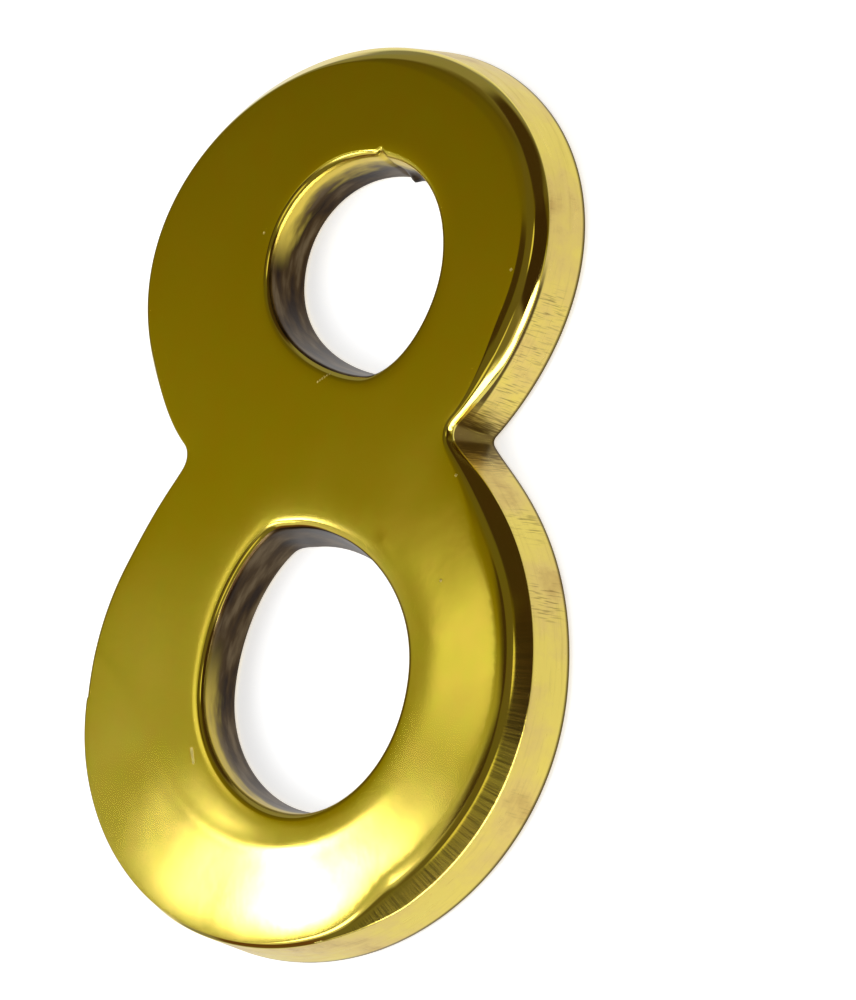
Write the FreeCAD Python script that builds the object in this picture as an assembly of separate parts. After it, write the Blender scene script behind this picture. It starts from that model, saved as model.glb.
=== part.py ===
import FreeCAD, Part
import math
import os

# Door numeral cast in one piece of brass, in millimetres
# X runs to the numeral's right, Z up its height, and the back lies on the plane y = 0
# The face looks towards -Y, and the origin is the middle of the back

# Overall sizes, measured over the flared back edge
HEIGHT = 76.2
THICKNESS = 4.7

# The two lobes at the crisp edge between side wall and bevel, from their widest line to their end
UPPER_WIDTH = 47.0
UPPER_RISE = 18.3
LOWER_WIDTH = 51.8
LOWER_RISE = 21.0

# The waist, where the flanks of the lobes meet in a small hollow above the middle
WAIST_HALF_WIDTH = 15.1
WAIST_Z = 3.9
WAIST_RADIUS = 1.15
UPPER_FLANK_ANGLE = 40.3
LOWER_FLANK_ANGLE = 53.3

# The side wall flares towards the back so that the casting leaves its mould
WALL_FLARE = 0.65
WAIST_FLARE = 0.9
WAIST_BACK_RADIUS = 0.5

# The bevel, ground round the face, widest on the lobes and running out at the waist
BEVEL_DROP = 1.15
UPPER_BEVEL_WIDTH = 1.15
LOWER_BEVEL_WIDTH = 1.5
WAIST_BEVEL_WIDTH = 0.3
FACE_EDGE_RADIUS = 1.0

# The stroke of the numeral, from the crisp edge to the openings at the face
TOP_STROKE = 9.7
UPPER_LEFT_STROKE = 16.2
UPPER_RIGHT_STROKE = 10.6
BRIDGE_ABOVE_WAIST = 5.2
BRIDGE_BELOW_WAIST = 6.95
LOWER_LEFT_STROKE = 15.6
LOWER_RIGHT_STROKE = 12.5
BOTTOM_STROKE = 10.85

# Where the openings are widest and tallest, beside the lobes' own widest and middle lines
UPPER_CROWN_X = 2.6
UPPER_FOOT_X = 5.5
UPPER_SIDE_RISE = 1.0
LOWER_FOOT_X = 2.4
LOWER_SIDE_RISE = 1.0

# The angular upper left corner of the lower opening: its place, its slope and the way on to the top
CORNER_IN = 5.75
CORNER_DOWN = 0.55
CORNER_SLOPE = 35.0
CORNER_TO_CROWN = 3.4

# Draft of the openings' walls over the whole thickness, and the way their cores leant at the back
UPPER_DRAFT = 0.8
LOWER_DRAFT = 0.7
RIGHT_SIDE_DRAFT = 0.2
UPPER_CORE_LEAN = (-1.3, 0.25)
LOWER_CORE_LEAN = (-1.75, -0.05)
RIM_RADIUS = 0.4

# Two blind holes tapped M4 in the back, in the middle of the top and bottom strokes
FIXING_DRILL_RADIUS = 1.65
FIXING_WEB = 0.9
DRILL_POINT_ANGLE = 118.0

# Pull of a curve's ends along their headings, as a share of its span, that of a round quarter first
ROUND = 0.5523
UPPER_FLANK_PULLS = (0.40, 0.25)
LOWER_FLANK_PULLS = (0.54, 0.13)

NODE = "numeral_eight"

# Headings along an outline that is drawn clockwise as seen from the front, in degrees
UPWARDS = 90.0
RIGHTWARDS = 0.0
DOWNWARDS = -90.0
LEFTWARDS = 180.0

# Distance under which two points count as touching
TOUCH = 0.001


def moved(point, heading, distance):
    """Point in the X-Z plane, moved along a heading in degrees."""
    angle = math.radians(heading)
    return (point[0] + distance * math.cos(angle), point[1] + distance * math.sin(angle))


def curve(y, start, first, second, end):
    """Cubic curve between two points of the X-Z plane, pulled by two handles."""
    bezier = Part.BezierCurve()
    bezier.setPoles([FreeCAD.Vector(p[0], y, p[1]) for p in (start, first, second, end)])
    return bezier.toShape()


def lobe_side(y, side, half_width, rise, widest_z, up, flank_end, flank_angle, pulls):
    """Round quarter of a lobe and its flank, from the centre line to the waist."""
    end = (0.0, widest_z + up * rise)
    widest = (side * half_width, widest_z)
    over = (end[0] + side * ROUND * half_width, end[1])
    beside = (widest[0], widest_z + up * ROUND * rise)
    span = math.dist(widest, flank_end)
    along = (widest[0], widest_z - up * pulls[0] * span)
    heading = up * flank_angle if side > 0 else 180.0 - up * flank_angle
    leaving = moved(flank_end, heading, pulls[1] * span)
    return [curve(y, end, over, beside, widest), curve(y, widest, along, leaving, flank_end)]


def numeral_wire(y, upper_inset, lower_inset, waist_inset, waist_radius):
    """Closed outline of the 8 at one depth, drawn in from its crisp edge by the insets."""
    half_height = HEIGHT / 2.0 - WALL_FLARE
    half_angle = (UPPER_FLANK_ANGLE + LOWER_FLANK_ANGLE) / 2.0
    reach = waist_radius / math.tan(math.radians(half_angle))
    depth = waist_radius / math.sin(math.radians(half_angle)) - waist_radius
    tilt = (UPPER_FLANK_ANGLE - LOWER_FLANK_ANGLE) / 2.0

    def half(side):
        waist = (side * (WAIST_HALF_WIDTH - waist_inset), WAIST_Z)

        def from_waist(angle, distance):
            return moved(waist, angle if side > 0 else 180.0 - angle, distance)

        # the small hollow that rounds the waist touches both flanks
        hollow_top = from_waist(UPPER_FLANK_ANGLE, reach)
        hollow_middle = from_waist(tilt, depth)
        hollow_end = from_waist(-LOWER_FLANK_ANGLE, reach)
        upper = lobe_side(y, side, UPPER_WIDTH / 2.0 - upper_inset, UPPER_RISE - upper_inset,
                          half_height - UPPER_RISE, 1.0, hollow_top, UPPER_FLANK_ANGLE, UPPER_FLANK_PULLS)
        lower = lobe_side(y, side, LOWER_WIDTH / 2.0 - lower_inset, LOWER_RISE - lower_inset,
                          LOWER_RISE - half_height, -1.0, hollow_end, LOWER_FLANK_ANGLE, LOWER_FLANK_PULLS)
        through = [FreeCAD.Vector(p[0], y, p[1]) for p in (hollow_top, hollow_middle, hollow_end)]
        bend = Part.Arc(*through).toShape()
        return upper + [bend] + [edge.reversed() for edge in reversed(lower)]

    left = [edge.reversed() for edge in reversed(half(-1.0))]
    return Part.Wire(half(1.0) + left)


def upper_nodes():
    """Leftmost, top, rightmost and bottom points of the upper opening, with heading, pulls and draft."""
    widest_z = HEIGHT / 2.0 - WALL_FLARE - UPPER_RISE
    return [
        ((UPPER_LEFT_STROKE - UPPER_WIDTH / 2.0, widest_z), UPWARDS, 0.44, 0.40, UPPER_DRAFT),
        ((UPPER_CROWN_X, HEIGHT / 2.0 - WALL_FLARE - TOP_STROKE), RIGHTWARDS, 0.41, 0.43, UPPER_DRAFT),
        ((UPPER_WIDTH / 2.0 - UPPER_RIGHT_STROKE, widest_z - UPPER_SIDE_RISE), DOWNWARDS, 0.40, 0.35,
         RIGHT_SIDE_DRAFT),
        ((UPPER_FOOT_X, WAIST_Z + BRIDGE_ABOVE_WAIST), LEFTWARDS, 0.34, 0.18, UPPER_DRAFT),
    ]


def lower_nodes():
    """Leftmost, corner, top, rightmost and bottom points of the lower opening, set out the same way."""
    side_z = LOWER_RISE - HEIGHT / 2.0 + WALL_FLARE + LOWER_SIDE_RISE
    left_x = LOWER_LEFT_STROKE - LOWER_WIDTH / 2.0
    corner_x = left_x + CORNER_IN
    top_z = WAIST_Z - BRIDGE_BELOW_WAIST
    return [
        ((left_x, side_z), UPWARDS, 0.38, 0.37, LOWER_DRAFT),
        ((corner_x, top_z - CORNER_DOWN), CORNER_SLOPE, 0.31, 0.32, LOWER_DRAFT),
        ((corner_x + CORNER_TO_CROWN, top_z), RIGHTWARDS, 0.39, 0.37, LOWER_DRAFT),
        ((LOWER_WIDTH / 2.0 - LOWER_RIGHT_STROKE, side_z), DOWNWARDS, 0.36, 0.42, RIGHT_SIDE_DRAFT),
        ((LOWER_FOOT_X, BOTTOM_STROKE - HEIGHT / 2.0 + WALL_FLARE), LEFTWARDS, 0.37, 0.38, LOWER_DRAFT),
    ]


def opening_wire(depth, nodes, core_lean):
    """Closed outline of an opening at a depth below the face, narrower the deeper it lies."""
    share = depth / THICKNESS
    inward = -90.0
    points = []
    for point, heading, pull_in, pull_out, draft in nodes:
        leant = (point[0] + share * core_lean[0], point[1] + share * core_lean[1])
        points.append(moved(leant, heading + inward, share * draft))

    edges = []
    for number, start in enumerate(points):
        following = (number + 1) % len(points)
        end = points[following]
        span = math.dist(start, end)
        first = moved(start, nodes[number][1], nodes[number][3] * span)
        second = moved(end, nodes[following][1], -nodes[following][2] * span)
        edges.append(curve(depth - THICKNESS, start, first, second, end))
    return Part.Wire(edges)


def solid_between(first, second):
    """Straight-sided solid from one closed outline to the next."""
    return Part.makeLoft([first, second], True, True)


def casting():
    """Flared wall and bevel of the numeral, before its openings."""
    back = numeral_wire(0.0, -WALL_FLARE, -WALL_FLARE, -WAIST_FLARE, WAIST_BACK_RADIUS)
    edge = numeral_wire(BEVEL_DROP - THICKNESS, 0.0, 0.0, 0.0, WAIST_RADIUS)
    face = numeral_wire(-THICKNESS, UPPER_BEVEL_WIDTH, LOWER_BEVEL_WIDTH, WAIST_BEVEL_WIDTH, WAIST_RADIUS)
    body = solid_between(back, edge).fuse(solid_between(edge, face))
    return body.makeFillet(FACE_EDGE_RADIUS, face_edges(body))


def face_edges(shape):
    """The edges that bound the flat front face."""
    return [edge for edge in shape.Edges if edge.BoundBox.YMax < TOUCH - THICKNESS]


def with_opening(body, nodes, core_lean):
    """The body with one loop opened and the rim of the opening rolled over."""
    before = [edge.CenterOfMass for edge in face_edges(body)]
    past = 1.0
    front = opening_wire(-past, nodes, core_lean)
    back = opening_wire(THICKNESS + past, nodes, core_lean)
    holed = body.cut(solid_between(front, back))
    rim = [edge for edge in face_edges(holed)
           if min(edge.CenterOfMass.distanceToPoint(point) for point in before) > TOUCH]
    return holed.makeFillet(RIM_RADIUS, rim)


def fixing_hole(z):
    """Blind tapping hole with the cone that the drill leaves, a web of metal short of the face."""
    towards_face = FreeCAD.Vector(0, -1, 0)
    cone_depth = FIXING_DRILL_RADIUS / math.tan(math.radians(DRILL_POINT_ANGLE / 2.0))
    full_depth = THICKNESS - FIXING_WEB - cone_depth
    bore = Part.makeCylinder(FIXING_DRILL_RADIUS, full_depth, FreeCAD.Vector(0, 0, z), towards_face)
    tip = Part.makeCone(FIXING_DRILL_RADIUS, 0.0, cone_depth, FreeCAD.Vector(0, -full_depth, z), towards_face)
    return bore.fuse(tip)


def numeral():
    """The whole door numeral."""
    body = casting()
    body = with_opening(body, upper_nodes(), UPPER_CORE_LEAN)
    body = with_opening(body, lower_nodes(), LOWER_CORE_LEAN)

    # each hole lies half-way from the back edge to the opening's end at the back
    top_hole_z = (HEIGHT - WALL_FLARE - TOP_STROKE - UPPER_DRAFT + UPPER_CORE_LEAN[1]) / 2.0
    bottom_hole_z = (WALL_FLARE + BOTTOM_STROKE + LOWER_DRAFT + LOWER_CORE_LEAN[1] - HEIGHT) / 2.0
    for z in (top_hole_z, bottom_hole_z):
        body = body.cut(fixing_hole(z))
    return body


os.makedirs("parts", exist_ok=True)
numeral().exportStep("parts/" + NODE + ".step")
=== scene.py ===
import math
import bmesh
import bpy
import numpy as np
from mathutils import Matrix, Vector
from mathutils.geometry import delaunay_2d_cdt


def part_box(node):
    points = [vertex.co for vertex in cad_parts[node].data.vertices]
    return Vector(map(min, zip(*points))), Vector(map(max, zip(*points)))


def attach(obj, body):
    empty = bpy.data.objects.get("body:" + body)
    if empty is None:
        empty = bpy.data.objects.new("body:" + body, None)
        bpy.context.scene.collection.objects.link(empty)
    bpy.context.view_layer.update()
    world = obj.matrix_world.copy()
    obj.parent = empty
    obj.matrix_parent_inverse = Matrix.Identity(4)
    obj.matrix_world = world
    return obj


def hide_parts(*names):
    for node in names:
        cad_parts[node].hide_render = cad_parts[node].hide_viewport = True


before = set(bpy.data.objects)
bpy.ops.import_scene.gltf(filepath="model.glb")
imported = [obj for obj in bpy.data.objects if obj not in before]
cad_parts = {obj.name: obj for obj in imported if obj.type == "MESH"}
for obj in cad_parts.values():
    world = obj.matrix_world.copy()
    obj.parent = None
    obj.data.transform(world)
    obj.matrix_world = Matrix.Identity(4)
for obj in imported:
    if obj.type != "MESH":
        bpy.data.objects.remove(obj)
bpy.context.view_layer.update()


# The numeral's outline
# A figure eight cast in one piece of brass: two round lobes that meet in a small notch at each side
# of the waist. The pattern was cut with fair curves, so each lobe is a few pulled curves, in mm.
MM = 0.001
NODE = "numeral_eight"
LOW_CORNER, HIGH_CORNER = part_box(NODE)
HEIGHT = (HIGH_CORNER[2] - LOW_CORNER[2]) / MM
THICKNESS = (HIGH_CORNER[1] - LOW_CORNER[1]) / MM
WALL_FLARE = 0.65
WAIST_FLARE = 0.9
HALF_HEIGHT = HEIGHT / 2.0 - WALL_FLARE
UPPER_WIDTH = 47.0
UPPER_RISE = 18.3
LOWER_WIDTH = (HIGH_CORNER[0] - LOW_CORNER[0]) / MM - 2.0 * WALL_FLARE
LOWER_RISE = 21.0
UPPER_WIDEST_Z = HALF_HEIGHT - UPPER_RISE
LOWER_WIDEST_Z = LOWER_RISE - HALF_HEIGHT
WAIST_HALF_WIDTH = 15.1
WAIST_Z = 3.9
WAIST_RADIUS = 1.15
WAIST_BACK_RADIUS = 0.5
UPPER_FLANK_ANGLE = math.radians(40.3)
LOWER_FLANK_ANGLE = math.radians(53.3)
ROUND = 0.5523
UPPER_FLANK_PULLS = (0.40, 0.25)
LOWER_FLANK_PULLS = (0.54, 0.13)
LOBE_STEPS = 120
FLANK_STEPS = 64
NOTCH_STEPS = 14


def heading(angle):
    """Unit vector of the X-Z plane at an angle counted from +X towards +Z."""
    return np.array([math.cos(angle), math.sin(angle)])


def curve(start, first, second, end, steps):
    """Points of a cubic curve pulled by two handles, without its last point."""
    t = np.linspace(0.0, 1.0, steps, endpoint=False)[:, None]
    u = 1.0 - t
    return u ** 3 * start + 3 * t * u ** 2 * first + 3 * t ** 2 * u * second + t ** 3 * end


def lobe_side(half_width, rise, widest_z, up, flank_end, flank_angle, pulls):
    """Right-hand side of a lobe, from the centre line over the widest point to the waist."""
    end = np.array([0.0, widest_z + up * rise])
    widest = np.array([half_width, widest_z])
    span = np.linalg.norm(widest - flank_end)
    lobe = curve(end, end + [ROUND * half_width, 0.0], widest + [0.0, up * ROUND * rise], widest, LOBE_STEPS)
    leaving = flank_end + pulls[1] * span * heading(up * flank_angle)
    flank = curve(widest, widest - [0.0, up * pulls[0] * span], leaving, flank_end, FLANK_STEPS)
    return np.vstack([lobe, flank])


def numeral_outline(upper_inset, lower_inset, waist_inset, notch_radius):
    """Outline of the 8 at one depth, clockwise from its top, drawn in by the insets."""
    waist = np.array([WAIST_HALF_WIDTH - waist_inset, WAIST_Z])
    half_angle = (UPPER_FLANK_ANGLE + LOWER_FLANK_ANGLE) / 2.0
    reach = notch_radius / math.tan(half_angle)
    notch_top = waist + reach * heading(UPPER_FLANK_ANGLE)
    notch_end = waist + reach * heading(-LOWER_FLANK_ANGLE)
    upper = lobe_side(UPPER_WIDTH / 2.0 - upper_inset, UPPER_RISE - upper_inset, UPPER_WIDEST_Z, 1.0,
                      notch_top, UPPER_FLANK_ANGLE, UPPER_FLANK_PULLS)
    lower = lobe_side(LOWER_WIDTH / 2.0 - lower_inset, LOWER_RISE - lower_inset, LOWER_WIDEST_Z, -1.0,
                      notch_end, LOWER_FLANK_ANGLE, LOWER_FLANK_PULLS)

    # the notch is the arc that touches both flanks
    bisector = heading((UPPER_FLANK_ANGLE - LOWER_FLANK_ANGLE) / 2.0)
    middle = waist + notch_radius / math.sin(half_angle) * bisector
    arc_start, arc_end = UPPER_FLANK_ANGLE + math.pi / 2.0, 1.5 * math.pi - LOWER_FLANK_ANGLE
    turn = np.linspace(arc_start, arc_end, NOTCH_STEPS + 1)
    notch = middle + notch_radius * np.stack([np.cos(turn), np.sin(turn)], 1)

    bottom = np.array([[0.0, -HALF_HEIGHT + lower_inset]])
    right = np.vstack([upper, notch, lower[:0:-1], bottom])
    left = right[-2:0:-1] * [-1.0, 1.0]
    return np.vstack([right, left])


def ring(outline, y):
    """Points of an outline set at one depth."""
    return np.stack([outline[:, 0], np.full(len(outline), y), outline[:, 1]], 1)


def towards(start, end, distance):
    """Points a distance along the way from one ring's points to another's."""
    way = end - start
    return start + way * (distance / np.linalg.norm(way, axis=1))[:, None]


def rounded(first, corner, last, steps):
    """Rings of a soft edge that leaves the first ring, bends by the corner and ends at the last."""
    shares = np.linspace(0.0, 1.0, steps)
    return [(1 - t) ** 2 * first + 2 * t * (1 - t) * corner + t * t * last for t in shares]


def right_of(points):
    """Unit vectors square to a closed clockwise ring, towards what it encloses, in the X-Z plane."""
    along = np.roll(points, -1, axis=0) - np.roll(points, 1, axis=0)
    across = np.stack([along[:, 2], np.zeros(len(along)), -along[:, 0]], 1)
    return across / np.linalg.norm(across, axis=1)[:, None]


# Wall, edge and bevel
# The side wall flares to the back by the draft of the mould and was linished. The bevel was ground
# on by hand: a wide facet with a soft shoulder where the numeral was pressed hardest to the wheel, on
# the right, a narrow crisp one elsewhere, and next to none at the waist and along the foot.
BEVEL_DROP = 1.15
# each bend of a bevel's section has its inset from the crisp edge and its drop below the face
UPPER_PRESSED = ((0.0, 1.15), (0.26, 0.72), (0.80, 0.25), (1.25, 0.10), (2.05, 0.0))
LOWER_PRESSED = ((0.0, 1.15), (0.40, 0.83), (1.22, 0.20), (1.80, 0.07), (2.70, 0.0))
CRISP = ((0.0, 1.15), (0.46, 0.66), (0.92, 0.19), (1.08, 0.06), (1.22, 0.0))
LOWER_BEVEL_GROWTH = 1.12
WAIST_BEVEL_SHARE = 0.24
WAIST_BEVEL_REACH = 8.5
WAIST_DROP_SHARE = 0.55
WAIST_DROP_REACH = 5.0
FOOT_BEVEL_SHARE = 0.28
LOBE_CHANGE_REACH = 1.5
# slopes of the outline, as parts of its inward direction, between which a share changes
PRESSED_SLOPES = (-0.15, 0.50)
RIGHT_FOOT_SLOPES = (0.87, 0.985)
LEFT_FOOT_DROP_SLOPES = (0.78, 0.96)
# on the left the bevel narrows from the widest point down to the foot
LEFT_FOOT_SLOPES = (0.0, 0.5, 0.707, 0.866, 1.0)
LEFT_FOOT_SHARES = (0.90, 0.54, 0.36, 0.24, 0.28)
BACK_EDGE_SOFTNESS = 0.12
CRISP_EDGE_SOFTNESS = 0.12
FACE_EDGE_ROLL = 0.12
# share of each facet that the soft bend at its end takes up
BEND_SHARE = 0.3
EDGE_STEPS = 4
FACE_EDGE_STEPS = 5


def eased(value, start, end):
    """Zero up to the start and one from the end on, with a soft way between."""
    share = np.clip((value - start) / (end - start), 0.0, 1.0)
    return share * share * (3.0 - 2.0 * share)


back_outline = ring(numeral_outline(-WALL_FLARE, -WALL_FLARE, -WAIST_FLARE, WAIST_BACK_RADIUS), 0.0)
edge_outline = ring(numeral_outline(0.0, 0.0, 0.0, WAIST_RADIUS), BEVEL_DROP - THICKNESS)
inwards = right_of(edge_outline)
height_on_edge = edge_outline[:, 2]
low = eased(WAIST_Z - height_on_edge, -LOBE_CHANGE_REACH, LOBE_CHANGE_REACH)
pressed = eased(-inwards[:, 0], *PRESSED_SLOPES)
off_waist = np.abs(height_on_edge - WAIST_Z)
waist_share = WAIST_BEVEL_SHARE + (1.0 - WAIST_BEVEL_SHARE) * eased(off_waist, 0.0, WAIST_BEVEL_REACH)
waist_drop = WAIST_DROP_SHARE + (1.0 - WAIST_DROP_SHARE) * eased(off_waist, 0.0, WAIST_DROP_REACH)
right_foot = 1.0 - (1.0 - FOOT_BEVEL_SHARE) * eased(inwards[:, 2], *RIGHT_FOOT_SLOPES)
left_foot = 1.0 - (1.0 - FOOT_BEVEL_SHARE) * eased(inwards[:, 2], *LEFT_FOOT_DROP_SLOPES)
is_lower = height_on_edge < WAIST_Z - 2.0 * LOBE_CHANGE_REACH
is_left = edge_outline[:, 0] < 0.0
foot_drop = np.where(is_lower, np.where(is_left, left_foot, right_foot), 1.0)
left_inset = np.interp(inwards[:, 2], LEFT_FOOT_SLOPES, LEFT_FOOT_SHARES)
foot_inset = np.where(is_lower & is_left & (inwards[:, 2] > 0.0), left_inset, foot_drop)


def bevel_ring(number):
    """Ring of the bevel's section at one of its bends, from the crisp edge to the face."""
    upper, lower, crisp = (np.array(section[number]) for section in (UPPER_PRESSED, LOWER_PRESSED, CRISP))
    growth = 1.0 + (LOWER_BEVEL_GROWTH - 1.0) * low
    hard = (1.0 - low)[:, None] * upper + low[:, None] * lower
    light = np.stack([crisp[0] * growth, np.full(len(growth), crisp[1])], 1)
    section = pressed[:, None] * hard + (1.0 - pressed)[:, None] * light
    points = edge_outline + (section[:, 0] * waist_share * foot_inset)[:, None] * inwards
    points[:, 1] = section[:, 1] * waist_drop * foot_drop - THICKNESS
    return points


bends = [bevel_ring(number) for number in range(len(CRISP))]
face_outline = bends[-1]
back_start = back_outline + BACK_EDGE_SOFTNESS * right_of(back_outline)
wall_start = towards(back_outline, bends[0], BACK_EDGE_SOFTNESS)
wall_end = towards(bends[0], back_outline, CRISP_EDGE_SOFTNESS)
bevel_start = towards(bends[0], bends[1], CRISP_EDGE_SOFTNESS)
bevel_end = face_outline + BEND_SHARE * (bends[-2] - face_outline)
face_start = face_outline + FACE_EDGE_ROLL * inwards

WALL_STEPS = 10
wall_rings = rounded(back_start, back_outline, wall_start, EDGE_STEPS)
wall_rings += [wall_start + (wall_end - wall_start) * k / WALL_STEPS for k in range(1, WALL_STEPS)]
edge_rings = rounded(wall_end, bends[0], bevel_start, EDGE_STEPS)
bevel_rings = []
for before, bend, after in zip(bends, bends[1:-1], bends[2:]):
    bend_start = bend + BEND_SHARE * (before - bend)
    bend_end = bend + BEND_SHARE * (after - bend)
    bevel_rings += rounded(bend_start, bend, bend_end, EDGE_STEPS)
bevel_rings += rounded(bevel_end, face_outline, face_start, FACE_EDGE_STEPS)
outer_rings = wall_rings + edge_rings + bevel_rings


# The two openings
# Sand cores left the loops open, a little off the middle and narrower at the back. Their walls are
# as cast, and the buffing wheel rolled the metal over where the face drops into them.
TOP_STROKE = 9.7
UPPER_LEFT_STROKE = 16.2
UPPER_RIGHT_STROKE = 10.6
BRIDGE_ABOVE_WAIST = 5.2
BRIDGE_BELOW_WAIST = 6.95
LOWER_LEFT_STROKE = 15.6
LOWER_RIGHT_STROKE = 12.5
BOTTOM_STROKE = 10.85
UPPER_CROWN_X = 2.6
UPPER_FOOT_X = 5.5
UPPER_SIDE_RISE = 1.0
LOWER_FOOT_X = 2.4
LOWER_SIDE_RISE = 1.0
CORNER_IN = 5.75
CORNER_DOWN = 0.55
CORNER_SLOPE = math.radians(35.0)
CORNER_TO_CROWN = 3.4
UPPER_DRAFT = 0.8
LOWER_DRAFT = 0.7
RIGHT_SIDE_DRAFT = 0.2
RIM_ROLL = 0.46
FAR_RIM_ROLL = 0.12
RIM_FLATNESS = 0.5
RIM_STEPS = 12
RIM_WALL_STEPS = 5
APRON = (0.3, 0.6, 0.95, 1.35, 1.8)
OPENING_STEPS = 76
OPENING_WALL_STEPS = 16
OPENING_BACK_SOFTNESS = 0.1
# slopes of an opening's outline between which its rim goes from the far roll to the full one
RIM_SLOPES = (-0.5, 0.3)
UPWARDS, RIGHTWARDS, DOWNWARDS, LEFTWARDS = math.pi / 2.0, 0.0, -math.pi / 2.0, math.pi

LOWER_LEFT_X = LOWER_LEFT_STROKE - LOWER_WIDTH / 2.0
LOWER_TOP_Z = WAIST_Z - BRIDGE_BELOW_WAIST

# each point of an opening has its place, its heading, the pull before and after it and its draft
UPPER_OPENING = {
    "points": [
        (UPPER_LEFT_STROKE - UPPER_WIDTH / 2.0, UPPER_WIDEST_Z, UPWARDS, 0.44, 0.40, UPPER_DRAFT),
        (UPPER_CROWN_X, HALF_HEIGHT - TOP_STROKE, RIGHTWARDS, 0.41, 0.43, UPPER_DRAFT),
        (UPPER_WIDTH / 2.0 - UPPER_RIGHT_STROKE, UPPER_WIDEST_Z - UPPER_SIDE_RISE, DOWNWARDS, 0.40, 0.35,
         RIGHT_SIDE_DRAFT),
        (UPPER_FOOT_X, WAIST_Z + BRIDGE_ABOVE_WAIST, LEFTWARDS, 0.34, 0.18, UPPER_DRAFT),
    ],
    "core_lean": np.array([-1.3, 0.25]),
}
LOWER_OPENING = {
    "points": [
        (LOWER_LEFT_X, LOWER_WIDEST_Z + LOWER_SIDE_RISE, UPWARDS, 0.38, 0.37, LOWER_DRAFT),
        (LOWER_LEFT_X + CORNER_IN, LOWER_TOP_Z - CORNER_DOWN, CORNER_SLOPE, 0.31, 0.32, LOWER_DRAFT),
        (LOWER_LEFT_X + CORNER_IN + CORNER_TO_CROWN, LOWER_TOP_Z, RIGHTWARDS, 0.39, 0.37, LOWER_DRAFT),
        (LOWER_WIDTH / 2.0 - LOWER_RIGHT_STROKE, LOWER_WIDEST_Z + LOWER_SIDE_RISE, DOWNWARDS, 0.36, 0.42,
         RIGHT_SIDE_DRAFT),
        (LOWER_FOOT_X, BOTTOM_STROKE - HALF_HEIGHT, LEFTWARDS, 0.37, 0.38, LOWER_DRAFT),
    ],
    "core_lean": np.array([-1.75, -0.05]),
}


def opening_ring(opening, depth):
    """Ring of an opening at a depth below the face, narrower the deeper it lies."""
    share = depth / THICKNESS
    nodes = []
    for x, z, angle, pull_in, pull_out, draft in opening["points"]:
        inward = heading(angle - math.pi / 2.0)
        point = np.array([x, z]) + share * (opening["core_lean"] + draft * inward)
        nodes.append((point, heading(angle), pull_in, pull_out))
    parts = []
    for (start, leaving, _, pull_out), (end, arriving, pull_in, _) in zip(nodes, nodes[1:] + nodes[:1]):
        span = np.linalg.norm(end - start)
        first = start + pull_out * span * leaving
        second = end - pull_in * span * arriving
        parts.append(curve(start, first, second, end, OPENING_STEPS))
    return ring(np.vstack(parts), depth - THICKNESS)


def opening_rings(opening):
    """Rings from the back edge of an opening up its wall, over its rim and out onto the face."""
    at_back = opening_ring(opening, THICKNESS)
    at_face = opening_ring(opening, 0.0)
    inwards = right_of(at_face)
    roll = FAR_RIM_ROLL + (RIM_ROLL - FAR_RIM_ROLL) * eased(inwards[:, 0], *RIM_SLOPES)[:, None]
    wall_top = at_face + (opening_ring(opening, RIM_ROLL) - at_face) * roll / RIM_ROLL
    rim_end = at_face - roll * inwards
    wall_foot = towards(at_back, wall_top, OPENING_BACK_SOFTNESS)
    rings = rounded(at_back - OPENING_BACK_SOFTNESS * right_of(at_back), at_back, wall_foot, EDGE_STEPS)
    climb = (wall_top - wall_foot) / OPENING_WALL_STEPS
    rings += [wall_foot + climb * k for k in range(1, OPENING_WALL_STEPS)]
    shares = np.linspace(0.0, 1.0, RIM_STEPS)
    for share, bowed in zip(shares, rounded(wall_top, at_face, rim_end, RIM_STEPS)):
        rings.append(RIM_FLATNESS * (wall_top + share * (rim_end - wall_top)) + (1.0 - RIM_FLATNESS) * bowed)
    return rings + [rim_end - distance * inwards for distance in APRON]


# The flaw at the top of the upper opening
# The core crumbled a little there: a nick in the rim, a crease that runs from it down the wall, and
# a burr of brass that was never dressed off, at the back edge.
NICK_AT = np.array([4.7, 27.7])
NICK_DEPTH = 0.16
NICK_WIDTH = 0.5
CREASE_DEPTH = 0.22
CREASE_WIDTH = 0.28
CREASE_LEAN = 0.1
CREASE_WANDER = 0.12
CREASE_WANDER_PER_MM = 3.0
# the nick runs down the wall, so depth counts for less than breadth in it
NICK_DEPTH_WEIGHT = 0.55
BURR_AT = np.array([5.1, -0.75, 26.6])
BURR_HEIGHT = 0.6
BURR_SPREAD = 0.55


def with_flaw(rings):
    """Rings of the upper opening, dented by the nick and the crease and raised by the burr."""
    flawed = []
    for points in rings:
        inward = right_of(points)
        depth = THICKNESS + points[:, 1]
        near_top = points[:, 2] > UPPER_WIDEST_Z
        crease_x = NICK_AT[0] - CREASE_LEAN * depth + CREASE_WANDER * np.sin(CREASE_WANDER_PER_MM * depth)
        crease = CREASE_DEPTH * np.exp(-((points[:, 0] - crease_x) / CREASE_WIDTH) ** 2) * near_top
        nick_from = np.hypot(points[:, 0] - NICK_AT[0], NICK_DEPTH_WEIGHT * depth)
        nick = NICK_DEPTH * np.exp(-(nick_from / NICK_WIDTH) ** 2) * near_top
        lump = BURR_HEIGHT * np.exp(-(np.linalg.norm(points - BURR_AT, axis=1) / BURR_SPREAD) ** 2)
        flawed.append(points + (lump - crease - nick)[:, None] * inward)
    return flawed


upper_rings = with_flaw(opening_rings(UPPER_OPENING))
lower_rings = opening_rings(LOWER_OPENING)


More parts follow.
